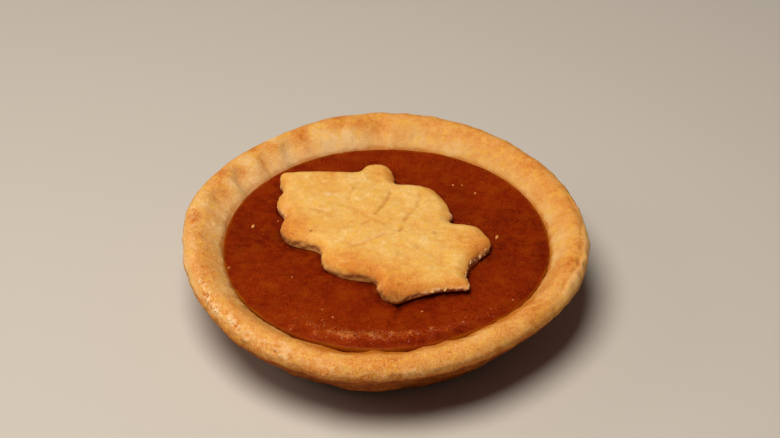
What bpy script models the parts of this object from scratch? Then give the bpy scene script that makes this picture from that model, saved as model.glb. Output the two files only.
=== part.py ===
"""A small open pumpkin pie: a bare pastry shell, its custard filling and a pastry oak leaf on top.

Metres, +Z up. The origin is the centre of the shell's flat underside, and +Y points to the back
of the pie. The sizes below are in millimetres. Azimuths are in degrees, anticlockwise from +X.
"""

from math import acos, cos, hypot, pi, radians, sin

import bmesh
import bpy

MM = 0.001                 # one millimetre, in metres
SEGMENTS = 108             # steps around the shell and around the filling
GAP = 0.3                  # air between two pieces that touch

# --- the shell, from its underside up over the rim and down inside ------------------------------
# The outer wall: radius, height, share of the rim's unevenness, share of the wall's own.
OUTSIDE = (
    (40.0, 0.0, 0.0, 0.0),             # edge of the flat underside
    (42.4, 0.9, 0.1, 0.3),
    (47.6, 6.6, 0.3, 0.8),
    (52.6, 12.8, 0.6, 1.0),
    (57.2, 18.2, 0.9, 0.6),
    (59.5, 21.3, 1.0, 0.2),            # widest
    (59.5, 23.3, 1.0, 0.0),
    (58.3, 24.9, 1.0, 0.0),            # outer edge of the rim's top
)
# The inner wall: the same, and the share of the flutes.
INSIDE = (
    (56.3, 25.6, 1.0, 0.0, 0.2),       # crest
    (53.8, 25.0, 0.9, 0.2, 0.6),
    (51.4, 23.2, 0.6, 0.7, 1.0),
    (49.3, 21.2, 0.2, 1.0, 0.5),       # just above the filling
    (47.4, 18.4, 0.0, 0.8, 0.0),
    (45.0, 13.4, 0.0, 0.4, 0.0),
    (42.0, 8.2, 0.0, 0.1, 0.0),
    (39.4, 4.9, 0.0, 0.0, 0.0),
    (36.4, 3.4, 0.0, 0.0, 0.0),        # edge of the floor inside
)
UNDER_THE_FILLING = 4      # the first of the inner stations that the filling covers
WATERLINE = 0.35           # how far down from the station above it the filling starts

# Azimuth, half width and amount of each place where the hand-pressed shell is uneven.
RIM_REACH = ((163, 24, 1.3), (143, 16, 0.5), (98, 34, 1.0), (66, 22, 0.6), (-98, 22, 0.7), (-50, 40, -1.1))
RIM_LIFT = ((88, 80, 1.4), (-120, 60, -1.0))
OUTER_BELLY = ((-132, 44, 1.8), (-98, 16, 1.2), (-78, 14, -0.8))
INNER_BELLY = ((-58, 46, -1.6), (180, 50, -0.5), (90, 60, -0.5))

# Soft flutes pressed into the inside of the rim, at the back left.
FLUTE_START = 108
FLUTE_END = 188
FLUTE_STEP = 11.0
FLUTE_DEPTH = 0.7

# --- the filling's top, from the pastry to the middle -------------------------------------------
FILLING_LEVEL = 20.0
# share of the waterline's radius, rise above the level, share of the puffed front
FILLING_TOP = (
    (0.982, 0.35, 0.3),
    (0.95, 0.1, 0.8),
    (0.90, 0.0, 1.0),
    (0.84, 0.0, 0.7),
    (0.765, 0.0, 0.2),
    (0.68, 0.0, 0.0),
)
FRONT_PUFF = ((-95, 75, 1.4),)

# --- the leaf, in its own frame: u runs along the midrib to the stem end, and v across it ------
LEAF_CENTRE = (-2.0, 4.8)
LEAF_TURN = -45.0          # azimuth of the midrib
LEAF_THICKNESS = 3.0
LEAF_ROUNDING = 1.1        # of the top edge
LEAF_CURL = 0.4            # of the bottom edge
ARC_STEP = 24.0            # degrees from one point of a rounded corner to the next
# u, v and rounding radius of each corner of the cutter, anticlockwise from the tip
LEAF_CORNERS = (
    (-41.0, -2.0, 2.0),
    (-32.5, -8.5, 4.0),
    (-30.5, -13.5, 3.0),       # small lobe beside the tip
    (-24.0, -15.5, 0.8),
    (-20.0, -21.5, 4.0),
    (-15.0, -22.5, 4.0),       # first lobe
    (-6.0, -18.5, 2.5),
    (0.5, -23.5, 5.0),
    (7.5, -22.0, 6.0),         # second lobe
    (15.5, -17.0, 1.8),
    (22.0, -21.0, 4.0),
    (27.5, -19.5, 3.0),        # third lobe
    (29.0, -14.5, 5.0),
    (32.0, -7.5, 8.0),
    (38.0, -0.5, 1.6),         # stem end
    (33.5, 2.0, 4.0),
    (30.5, 7.0, 5.0),
    (29.0, 18.5, 2.5),
    (20.0, 21.5, 4.0),         # third lobe
    (13.5, 16.5, 1.5),
    (7.5, 22.5, 4.0),
    (-3.0, 25.5, 6.0),         # second lobe
    (-11.5, 18.5, 2.0),
    (-20.0, 25.0, 4.0),
    (-25.0, 20.0, 3.5),        # first lobe
    (-24.0, 15.0, 1.5),
    (-32.5, 7.0, 8.0),
)

PASTRY = (0.72, 0.36, 0.11, 1.0)
CUSTARD = (0.23, 0.022, 0.003, 1.0)
BISCUIT = (0.80, 0.44, 0.13, 1.0)


# --- helpers --------------------------------------------------------------------------------------

def clear_scene():
    for item in list(bpy.data.objects):
        bpy.data.objects.remove(item, do_unlink=True)


def swell(azimuth, places):
    """Add up the smooth bumps of a list of (azimuth, half width, amount)."""
    total = 0.0
    for centre, half_width, amount in places:
        away = abs((azimuth - centre + 180) % 360 - 180)
        if away < half_width:
            total += amount * (0.5 + 0.5 * cos(pi * away / half_width))
    return total


def flute(azimuth):
    """Return how far the fluted wall moves outwards at an azimuth."""
    along = (azimuth % 360 - FLUTE_START) / (FLUTE_END - FLUTE_START)
    if not 0 < along < 1:
        return 0.0
    wave = sin(2 * pi * (azimuth % 360 - FLUTE_START) / FLUTE_STEP)
    return FLUTE_DEPTH * wave * sin(pi * along)


def azimuths():
    return [360 * step / SEGMENTS for step in range(SEGMENTS)]


def around(azimuth, radius, height):
    return (radius * cos(radians(azimuth)), radius * sin(radians(azimuth)), height)


def lofted_solid(name, rings, material):
    """Join rings of millimetre points, from the bottom up, into one closed solid."""
    mesh = bmesh.new()
    loops = [[mesh.verts.new([value * MM for value in point]) for point in ring] for ring in rings]
    for lower, upper in zip(loops, loops[1:]):
        for here in range(len(lower)):
            there = (here + 1) % len(lower)
            mesh.faces.new((lower[here], lower[there], upper[there], upper[here]))
    mesh.faces.new(list(reversed(loops[0])))
    mesh.faces.new(loops[-1])
    bmesh.ops.recalc_face_normals(mesh, faces=mesh.faces[:])
    data = bpy.data.meshes.new(name)
    mesh.to_mesh(data)
    mesh.free()
    data.materials.append(material)
    data.shade_smooth()
    data.set_sharp_from_angle(angle=radians(50))
    piece = bpy.data.objects.new(name, data)
    bpy.context.collection.objects.link(piece)
    return piece


def principled(name, colour, roughness):
    material = bpy.data.materials.new(name)
    material.use_nodes = True
    shader = material.node_tree.nodes["Principled BSDF"]
    shader.inputs["Base Color"].default_value = colour
    shader.inputs["Roughness"].default_value = roughness
    shader.inputs["Metallic"].default_value = 0.0
    return material


# --- shell ----------------------------------------------------------------------------------------

def wall_ring(belly, radius, height, rim_share, belly_share, flute_share=0.0):
    """Return one ring of the shell, with the unevenness that its station takes."""
    ring = []
    for azimuth in azimuths():
        reach = rim_share * swell(azimuth, RIM_REACH) + belly_share * swell(azimuth, belly)
        lift = rim_share * swell(azimuth, RIM_LIFT)
        ring.append(around(azimuth, radius + reach + flute_share * flute(azimuth), height + lift))
    return ring


def make_crust():
    rings = [wall_ring(OUTER_BELLY, *station) for station in OUTSIDE]
    rings += [wall_ring(INNER_BELLY, *station) for station in INSIDE]
    return lofted_solid("crust", rings, principled("pastry", PASTRY, 0.75))


# --- filling --------------------------------------------------------------------------------------

def blend(first, second, share):
    return tuple(a + share * (b - a) for a, b in zip(first, second))


def covered_stations():
    """Return the shell's stations under the filling, from the floor up to the waterline."""
    top = blend(INSIDE[UNDER_THE_FILLING - 1], INSIDE[UNDER_THE_FILLING], WATERLINE)
    return list(reversed((top,) + INSIDE[UNDER_THE_FILLING:]))


def clear_of_wall(stations):
    """Move each station off the wall by the gap, square to the wall there."""
    moved = []
    for here, station in enumerate(stations):
        before = stations[max(here - 1, 0)]
        after = stations[min(here + 1, len(stations) - 1)]
        run, climb = after[0] - before[0], after[1] - before[1]
        shift = 1.1 * GAP / hypot(run, climb)
        moved.append((station[0] - shift * climb, station[1] + shift * run) + station[2:])
    return moved


def filling_top_ring(waterline, radius_share, rise, puff_share):
    ring = []
    for (x, y, _), azimuth in zip(waterline, azimuths()):
        height = FILLING_LEVEL + rise + puff_share * swell(azimuth, FRONT_PUFF)
        ring.append((radius_share * x, radius_share * y, height))
    return ring


def make_filling():
    rings = [wall_ring(INNER_BELLY, *station) for station in clear_of_wall(covered_stations())]
    waterline = rings[-1]
    rings += [filling_top_ring(waterline, *station) for station in FILLING_TOP]
    return lofted_solid("filling", rings, principled("custard", CUSTARD, 0.35))


# --- leaf -----------------------------------------------------------------------------------------

def unit(start, end):
    length = hypot(end[0] - start[0], end[1] - start[1])
    return ((end[0] - start[0]) / length, (end[1] - start[1]) / length)


def rounded_corner(before, corner, after):
    """Return the points and inward normals of the arc that rounds one corner of the outline."""
    u, v, radius = corner
    back = unit(corner, before)
    ahead = unit(corner, after)
    inside = acos(back[0] * ahead[0] + back[1] * ahead[1])
    side = 1 if ahead[0] * back[1] - ahead[1] * back[0] > 0 else -1
    bisector = unit((0, 0), (back[0] + ahead[0], back[1] + ahead[1]))
    reach = radius / sin(inside / 2)
    centre = (u + reach * bisector[0], v + reach * bisector[1])
    turn = pi - inside
    steps = max(2, round(turn / radians(ARC_STEP)))
    arc = []
    for step in range(steps + 1):
        angle = side * turn * (step / steps - 0.5)
        out = (-bisector[0] * cos(angle) + bisector[1] * sin(angle),
               -bisector[0] * sin(angle) - bisector[1] * cos(angle))
        point = (centre[0] + radius * out[0], centre[1] + radius * out[1])
        arc.append((point, (-side * out[0], -side * out[1])))
    return arc


def leaf_outline():
    """Return the cutter's outline as points with inward normals, in the leaf's frame."""
    outline = []
    for here, corner in enumerate(LEAF_CORNERS):
        after = LEAF_CORNERS[(here + 1) % len(LEAF_CORNERS)]
        outline += rounded_corner(LEAF_CORNERS[here - 1], corner, after)
    return outline


def leaf_ring(outline, inset, height):
    turn = radians(LEAF_TURN)
    ring = []
    for (u, v), (inward_u, inward_v) in outline:
        along = u + inset * inward_u
        across = v + inset * inward_v
        ring.append((LEAF_CENTRE[0] + along * cos(turn) - across * sin(turn),
                     LEAF_CENTRE[1] + along * sin(turn) + across * cos(turn),
                     height))
    return ring


def make_leaf():
    outline = leaf_outline()
    bottom = FILLING_LEVEL + GAP
    top = bottom + LEAF_THICKNESS
    slope = 1 - cos(radians(45))
    rings = [
        leaf_ring(outline, LEAF_CURL, bottom),
        leaf_ring(outline, 0.0, bottom + LEAF_CURL),
        leaf_ring(outline, 0.0, top - LEAF_ROUNDING),
        leaf_ring(outline, slope * LEAF_ROUNDING, top - slope * LEAF_ROUNDING),
        leaf_ring(outline, LEAF_ROUNDING, top),
    ]
    return lofted_solid("leaf", rings, principled("biscuit", BISCUIT, 0.75))


clear_scene()
make_crust()
make_filling()
make_leaf()
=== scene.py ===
# %% [markdown]
# # A small pumpkin pie
#
# A pie is three bakes in one: a shell of shortcrust pastry, a smooth custard that sets inside it,
# and a pastry leaf that is baked apart and laid on top. This notebook gives each of them its real
# surface: the hand-pressed rim, the puffed and pitted edge of the custard, the marked veins of the
# leaf, and the crumbs. All sizes below are in millimetres until a mesh is made of them.

# %% Load the frame
from math import cos, pi, radians, sin

import bpy
import numpy as np
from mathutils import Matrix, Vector
from mathutils.kdtree import KDTree


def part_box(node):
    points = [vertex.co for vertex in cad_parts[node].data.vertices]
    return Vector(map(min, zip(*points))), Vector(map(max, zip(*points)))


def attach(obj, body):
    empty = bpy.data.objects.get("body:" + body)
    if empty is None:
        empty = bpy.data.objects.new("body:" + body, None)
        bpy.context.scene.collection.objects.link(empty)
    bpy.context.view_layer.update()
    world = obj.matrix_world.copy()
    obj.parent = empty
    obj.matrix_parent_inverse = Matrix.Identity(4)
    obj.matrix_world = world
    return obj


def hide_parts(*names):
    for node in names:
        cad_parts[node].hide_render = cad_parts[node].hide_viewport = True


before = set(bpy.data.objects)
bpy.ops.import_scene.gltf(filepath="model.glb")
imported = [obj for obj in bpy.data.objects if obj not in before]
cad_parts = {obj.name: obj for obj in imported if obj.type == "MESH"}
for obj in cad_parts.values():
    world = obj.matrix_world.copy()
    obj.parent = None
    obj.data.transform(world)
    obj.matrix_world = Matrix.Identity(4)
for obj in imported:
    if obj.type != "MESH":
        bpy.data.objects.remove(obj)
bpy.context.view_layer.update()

MM = 0.001
shell_low, shell_high = [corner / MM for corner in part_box("crust")]
custard_low, custard_high = [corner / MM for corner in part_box("filling")]
leaf_low, leaf_high = [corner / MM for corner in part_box("leaf")]
print("shell", [round(side, 1) for side in shell_high - shell_low], "mm")

# %% [markdown]
# ## Camera and light
#
# The pie is looked at from the front, about forty degrees above the table. A long lens keeps the
# far and the near side of the rim at nearly the same scale, so the round rim isn't stretched. The
# camera aims a little above the pie, so that more floor shows behind the pie than before it.

# %% Camera
CAMERA_ELEVATION = 38.7    # degrees above the table
CAMERA_DISTANCE = 600.0    # from the middle of the pie
CAMERA_LENS = 93.7
MIDDLE = Vector((0.0, 0.0, 18.0))
AIM_RIGHT = 1.33           # how far beside and above the middle the camera aims
AIM_ABOVE = 9.16

tilt = radians(CAMERA_ELEVATION)
towards_camera = Vector((0.0, -cos(tilt), sin(tilt)))
camera_up = Vector((0.0, sin(tilt), cos(tilt)))
camera = bpy.data.objects.new("camera", bpy.data.cameras.new("camera"))
camera.data.lens = CAMERA_LENS
camera.data.clip_start = 0.01
camera_place = MIDDLE + CAMERA_DISTANCE * towards_camera
camera_target = MIDDLE + AIM_RIGHT * Vector((1.0, 0.0, 0.0)) + AIM_ABOVE * camera_up
camera.location = camera_place * MM
camera.rotation_mode = "QUATERNION"
camera.rotation_quaternion = (camera_target - camera_place).to_track_quat("-Z", "Y")
bpy.context.collection.objects.link(camera)
bpy.context.scene.camera = camera
bpy.context.scene.view_settings.view_transform = "Standard"
print("camera", round(CAMERA_DISTANCE), "mm away")

# %% [markdown]
# The light is that of a small studio: one large soft lamp almost straight above the pie, a little
# to the left and to the front. The wide rim then shades the wall below it, and the shadow stays
# close to the pie. An area lamp is the soft box of a studio. Its size sets how soft the shadow's
# edge is, and its power and distance set how bright it is. A weak second lamp keeps the shade
# readable. The world is dark above, so that the custard has nothing pale to mirror there, and
# pale near the horizon, like the walls of a room.

# %% Lights
WARM = (1.0, 0.93, 0.84)
LIT_SPOT = (0, 0, 15)


def soft_lamp(name, place, target, size, watts, colour):
    lamp = bpy.data.lights.new(name, "AREA")
    lamp.shape = "DISK"
    lamp.size = size * MM
    lamp.energy = watts
    lamp.color = colour
    item = bpy.data.objects.new(name, lamp)
    item.location = Vector(place) * MM
    item.rotation_mode = "QUATERNION"
    item.rotation_quaternion = (Vector(target) - Vector(place)).to_track_quat("-Z", "Y")
    bpy.context.collection.objects.link(item)


soft_lamp("lamp_above", (-125, -150, 650), LIT_SPOT, 380, 5.0, WARM)
soft_lamp("lamp_left", (-620, 60, 330), LIT_SPOT, 400, 0.7, WARM)

world = bpy.data.worlds.new("studio")
world.use_nodes = True
bpy.context.scene.world = world

# %% [markdown]
# ## Small tools
#
# Materials and Geometry Nodes are both trees of nodes. One function adds any node: it takes the
# node's type, then its settings, and then what goes into its sockets. The settings come first,
# because some of them change which sockets the node has.

# %% Add nodes
def put(value, socket):
    """Link a wire to a socket, or set the socket's own value."""
    if isinstance(value, Wire):
        socket.id_data.links.new(value.socket, socket)
    else:
        socket.default_value = value


def add_node(tree, kind, settings=None, inputs=None, output=0):
    """Add any node: its settings first, then what goes into its sockets. Return one output."""
    node = tree.nodes.new(kind)
    for name, value in (settings or {}).items():
        if name == "stops":
            set_stops(node.color_ramp, value)
        else:
            setattr(node, name, value)
    for name, value in (inputs or {}).items():
        put(value, node.inputs[name])
    return Wire(node.outputs[output])


def set_stops(ramp, stops):
    while len(ramp.elements) < len(stops):
        ramp.elements.new(0.5)
    for element, (position, colour) in zip(ramp.elements, stops):
        element.position = position
        element.color = (*colour, 1.0)


# %% [markdown]
# A material is a sum of patterns. Written as nodes, each plus sign is a node and two links, which
# is hard to read in a script. The class below wraps the output of a node, and its plus and times
# add the Math node by themselves, so a formula can be written as one. It works in a shader and
# in Geometry Nodes alike, because both have the same Math node.

# %% Add up wires
class Wire:
    """The output of a node, which can take part in a sum like a number."""

    def __init__(self, socket):
        self.socket = socket

    def maths(self, operation, *numbers, clamp=False):
        settings = {"operation": operation, "use_clamp": clamp}
        return add_node(self.socket.id_data, "ShaderNodeMath", settings, dict(enumerate(numbers)))

    def __add__(self, other):
        return self.maths("ADD", self, other)

    def __sub__(self, other):
        return self.maths("SUBTRACT", self, other)

    def __rsub__(self, other):
        return self.maths("SUBTRACT", other, self)

    def __mul__(self, other):
        return self.maths("MULTIPLY", self, other)

    def clamped(self):
        return self.maths("ADD", self, 0.0, clamp=True)

    __radd__ = __add__
    __rmul__ = __mul__


def between(wire, low, high):
    """Turn a value into 0 at low and 1 at high, with a soft step between them."""
    settings = {"interpolation_type": "SMOOTHSTEP"}
    inputs = {"Value": wire, "From Min": low, "From Max": high}
    return add_node(wire.socket.id_data, "ShaderNodeMapRange", settings, inputs)


def tint(mask, under, over):
    """Mix two colours by a mask. The colour sockets of the Mix node are its seventh and eighth."""
    settings = {"data_type": "RGBA"}
    return add_node(mask.socket.id_data, "ShaderNodeMix", settings, {0: mask, 6: under, 7: over}, 2)


# %% [markdown]
# The first tree is the world's. The direction of a ray has a height, and between the horizon and
# a little above it the pale walls of the room fade into the dark.

# %% The room around
ROOM_PALE = (0.46, 0.40, 0.33, 1.0)
ROOM_DARK = (0.045, 0.042, 0.038, 1.0)
WALL_TOP = 0.30            # the sine of the elevation at which the pale walls have faded out

sky = world.node_tree
direction = add_node(sky, "ShaderNodeTexCoord")
height = add_node(sky, "ShaderNodeSeparateXYZ", None, {"Vector": direction}, output=2)
room = tint(between(height, 0.0, WALL_TOP), ROOM_PALE, ROOM_DARK)
put(room, sky.nodes["Background"].inputs["Color"])
print("room", len(sky.nodes), "nodes")

# %% [markdown]
# The uneven surface of baked dough is noise at several scales: a slow swell of the whole wall,
# lumps, and grain. Blender's Noise texture only colours a surface, so for the real relief the
# same idea is written with numpy. It fills a box with random numbers and blends smoothly between
# the eight that surround a point, which gives the same lumps on each run.

# %% Numbers over a surface
NOISE_CELLS = 48           # along each side of the box, which then repeats
NOISE_SHIFT = 17.3         # keeps the middle of the pie off the box's corner


def noise(points, size, seed):
    """Return smooth noise from about -1 to 1 at points in mm, with lumps of the given size."""
    table = np.random.default_rng(seed).uniform(-1.0, 1.0, (NOISE_CELLS,) * 3)
    cells = points / size + NOISE_SHIFT
    base = np.floor(cells).astype(int)
    part = cells - base
    part = part * part * (3 - 2 * part)
    total = np.zeros(len(points))
    for corner in np.ndindex(2, 2, 2):
        weight = np.prod(np.where(np.array(corner) == 1, part, 1 - part), axis=1)
        x, y, z = ((base + corner) % NOISE_CELLS).T
        total += weight * table[x, y, z]
    return total


def rough(points, size, seed, octaves=3):
    """Add up noise of halving size and strength."""
    layers = [noise(points, size / 2**step, seed + step) / 2**step for step in range(octaves)]
    return sum(layers)


def step_up(values, low, high):
    """Go from 0 at low to 1 at high, with soft ends."""
    part = np.clip((values - low) / (high - low), 0, 1)
    return part * part * (3 - 2 * part)


def hump(values, centre, width):
    """Return a bell of height 1 at centre."""
    return np.exp(-((values - centre) / width) ** 2)


def swell(azimuth, places):
    """Add up smooth bumps, each with its azimuth, half width and amount."""
    total = np.zeros(len(azimuth))
    for centre, half_width, amount in places:
        away = np.abs((azimuth - centre + 180) % 360 - 180)
        total += amount * np.where(away < half_width, 0.5 + 0.5 * np.cos(pi * away / half_width), 0)
    return total


def spots_at(places, spots):
    """Add up round bells in a plane, each with its place, size and amount."""
    total = np.zeros(len(places))
    for u, v, size, amount in spots:
        total += amount * hump(np.hypot(places[:, 0] - u, places[:, 1] - v), 0, size)
    return total


def azimuth_of(points):
    return np.degrees(np.arctan2(points[:, 1], points[:, 0]))


print("noise at three points", noise(np.eye(3) * shell_high.x, 8.0, 1).round(2))

# %% [markdown]
# Points move in numpy and then go back to the mesh. Masks, such as how brown the pastry is at a
# point, are stored on the mesh as attributes, which a material can read by name. They stay with
# the surface wherever the pie is put.

# %% Points and masks
def points_of(mesh):
    flat = np.empty(len(mesh.vertices) * 3)
    mesh.vertices.foreach_get("co", flat)
    return flat.reshape(-1, 3) / MM


def set_points(mesh, points):
    mesh.vertices.foreach_set("co", (points * MM).ravel())
    mesh.update()


def normals_of(mesh):
    flat = np.empty(len(mesh.vertices) * 3)
    mesh.vertex_normals.foreach_get("vector", flat)
    return flat.reshape(-1, 3)


def read_mask(mesh, name):
    values = np.empty(len(mesh.vertices), np.float32)
    mesh.attributes[name].data.foreach_get("value", values)
    return values.astype(float)


def store_masks(mesh, **masks):
    """Store each mask under its own name."""
    for name, values in masks.items():
        if name not in mesh.attributes:
            mesh.attributes.new(name, "FLOAT", "POINT")
        mesh.attributes[name].data.foreach_set("value", np.asarray(values, np.float32))


# %% [markdown]
# A tree of Geometry Nodes runs as a modifier on an item, and its inputs are set by their
# identifiers, which stay the same when a name is changed. The mesh that it leaves is then copied
# as a plain one, so that nothing has to be worked out again later.

# %% Items and their trees
def link_piece(name, mesh):
    piece = bpy.data.objects.new(name, mesh)
    bpy.context.collection.objects.link(piece)
    mesh.shade_smooth()
    return piece


def plain_copy(item, name):
    """Return the item's mesh as its modifiers leave it, and remove the item."""
    seen = item.evaluated_get(bpy.context.evaluated_depsgraph_get())
    mesh = bpy.data.meshes.new_from_object(seen)
    mesh.name = name
    bpy.data.objects.remove(item)
    return mesh


def run_nodes(item, tree, values):
    """Give an item a Geometry Nodes modifier, with its inputs set by their identifiers."""
    modifier = item.modifiers.new(tree.name, "NODES")
    modifier.node_group = tree
    for socket in tree.interface.items_tree:
        if socket.in_out == "INPUT" and socket.name in values:
            modifier[socket.identifier] = values[socket.name]


def new_tree(name, inputs):
    """Start a Geometry Nodes tree. Return the tree and the wires of its named inputs."""
    tree = bpy.data.node_groups.new(name, "GeometryNodeTree")
    tree.interface.new_socket("Geometry", in_out="OUTPUT", socket_type="NodeSocketGeometry")
    tree.interface.new_socket("Geometry", in_out="INPUT", socket_type="NodeSocketGeometry")
    for label, kind in inputs.items():
        tree.interface.new_socket(label, in_out="INPUT", socket_type="NodeSocket" + kind)
    entry = tree.nodes.new("NodeGroupInput")
    return tree, {socket.name: Wire(socket) for socket in entry.outputs if socket.name}


def close_tree(tree, geometry):
    exit_node = tree.nodes.new("NodeGroupOutput")
    put(geometry, exit_node.inputs["Geometry"])


print("frame's crust", len(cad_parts["crust"].data.vertices), "points")

# %% [markdown]
# ## The turning
#
# A shell and its filling are both round, so each is a profile turned about the middle. It could be
# a Screw modifier, but in Geometry Nodes the profile can carry its own numbers round with it, such
# as how far along the wall a point is. The tree takes the profile as a chain of edges, sweeps it
# round a circle and closes the two poles by merging the points that meet there.

# %% Turn a profile
TURNING_CIRCLE = 50.0      # the circle that the profile is swept round
MERGED = 0.01              # points nearer than this become one


def turning_tree():
    tree, given = new_tree("turning", {"Circle": "Float", "Steps around": "Int", "Finish": "Material"})
    circle = add_node(tree, "GeometryNodeCurvePrimitiveCircle", None,
                      {"Resolution": given["Steps around"], "Radius": given["Circle"]})
    profile = add_node(tree, "GeometryNodeMeshToCurve", None, {"Mesh": given["Geometry"]})
    swept = add_node(tree, "GeometryNodeCurveToMesh", None, {"Curve": circle, "Profile Curve": profile})
    whole = add_node(tree, "GeometryNodeMergeByDistance", None,
                     {"Geometry": swept, "Distance": MERGED * MM})
    outward = add_node(tree, "GeometryNodeFlipFaces", None, {"Mesh": whole})
    single = add_node(tree, "GeometryNodeRealizeInstances", None, {"Geometry": outward})
    finished = add_node(tree, "GeometryNodeSetMaterial", None,
                        {"Geometry": single, "Material": given["Finish"]})
    close_tree(tree, finished)
    return tree


TURNING = turning_tree()


def turned(name, profile, steps, material):
    """Turn a profile, given as columns of numbers by name, into a round closed mesh."""
    places = [((radius - TURNING_CIRCLE) * MM, -height * MM, 0.0)
              for radius, height in zip(profile["radius"], profile["height"])]
    chain = [(first, first + 1) for first in range(len(places) - 1)]
    mesh = bpy.data.meshes.new(name)
    mesh.from_pydata(places, chain, [])
    store_masks(mesh, **profile)
    item = link_piece(name, mesh)
    run_nodes(item, TURNING, {"Circle": TURNING_CIRCLE * MM, "Steps around": steps, "Finish": material})
    whole = plain_copy(item, name)
    print(name, len(whole.vertices), "points,", len(whole.polygons), "faces")
    return whole


# %% [markdown]
# A profile starts as the few stations that a baker would mark on paper. `even_profile` rounds the
# corners with a moving average and walks along them. Its paces say up to which place along the
# profile a length of step holds. Where the pastry shows, the steps are short enough to hold its
# lumps as real shape.

# %% Profiles
FINE_STEP = 0.1


def profile_marks(stations):
    """Return how far along the profile each station lies."""
    table = np.array(stations, float)
    lengths = np.hypot(np.diff(table[:, 0]), np.diff(table[:, 1]))
    return np.concatenate([[0.0], np.cumsum(lengths)])


def even_profile(stations, names, rounding, paces):
    """Return the stations as a row of steps: an array for each name, and one for the way along."""
    table = np.array(stations, float)
    along = profile_marks(stations)
    fine = np.arange(0.0, along[-1], FINE_STEP)
    window = max(1, round(rounding / FINE_STEP))
    weights = np.hanning(window + 2)[1:-1]
    weights /= weights.sum()
    smooth = []
    for column in table.T:
        values = np.interp(fine, along, column)
        padded = np.pad(values, window, mode="reflect", reflect_type="odd")
        smooth.append(np.convolve(padded, weights, mode="same")[window:-window])
    stops = [0.0]
    while stops[-1] < fine[-1]:
        stops.append(stops[-1] + next(step for end, step in paces if stops[-1] < end))
    stops = np.array(stops[:-1] + [fine[-1]])
    result = {name: np.interp(stops, fine, values) for name, values in zip(names, smooth)}
    for name, column in zip(names, table.T):
        result[name][[0, -1]] = column[[0, -1]]
    result["along"] = stops
    return result


print("marks of a wall 3 mm out and 4 mm up", profile_marks(((0.0, 0.0), (3.0, 4.0))))

# %% [markdown]
# ## Materials
#
# Baked things are told apart by colour more than by shine. All three finishes start from one
# idea: a value for how much heat a spot has taken, from masks on the mesh and from noise, goes
# through a ramp of colours from raw dough to well browned. Grain comes from fine noise in the
# colour and from a Bump node.

# %% What the finishes share
def start_material(name, roughness, specular):
    material = bpy.data.materials.new(name)
    material.use_nodes = True
    shader = material.node_tree.nodes["Principled BSDF"]
    shader.inputs["Roughness"].default_value = roughness
    shader.inputs["Specular IOR Level"].default_value = specular
    return material, shader


def grain(tree, size, detail=3.0, roughness=0.55, kind="ShaderNodeTexNoise"):
    """Return noise with lumps of the given size in mm, from 0 to 1, fixed to the object."""
    coordinates = add_node(tree, "ShaderNodeTexCoord", output=3)
    inputs = {"Vector": coordinates, "Scale": 1 / (size * MM)}
    if kind == "ShaderNodeTexNoise":
        inputs.update({"Detail": detail, "Roughness": roughness})
    return add_node(tree, kind, None, inputs)


def mask(tree, name):
    return add_node(tree, "ShaderNodeAttribute", {"attribute_name": name}, output=2)


def emboss(shader, height, depth):
    """Press a height pattern into the surface, with its full range worth a depth in mm."""
    tree = height.socket.id_data
    inputs = {"Strength": 1.0, "Distance": depth * MM, "Height": height}
    put(add_node(tree, "ShaderNodeBump", None, inputs), shader.inputs["Normal"])


# %% [markdown]
# Shortcrust is flour and butter: matt, sandy, and mottled where butter melted. Thin and high
# parts brown first. The ramp runs from the pale inside of the dough to the brown of the outer
# wall, and the grain darkens and lightens it. Flour, melted butter and dried custard then tint
# the colour, each by a mask. The grain fades where the pastry is brown, as it does on a real pie.

# %% Pastry
DOUGH_RAMP = (
    (0.00, (0.800, 0.500, 0.220)),
    (0.20, (0.730, 0.405, 0.128)),
    (0.40, (0.695, 0.310, 0.070)),
    (0.60, (0.620, 0.215, 0.034)),
    (0.80, (0.450, 0.100, 0.008)),
    (1.00, (0.210, 0.036, 0.002)),
)
BUTTER = (0.77, 0.42, 0.055, 1.0)
FLOUR = (0.88, 0.60, 0.32, 1.0)
THIN_FILM = (0.50, 0.130, 0.004, 1.0)       # custard that has dried on the pastry
THICK_FILM = (0.27, 0.035, 0.001, 1.0)
PASTRY_SHADE_AND_SPLASHES = (0.38, 0.15, 0.03, 1.0)


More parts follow.
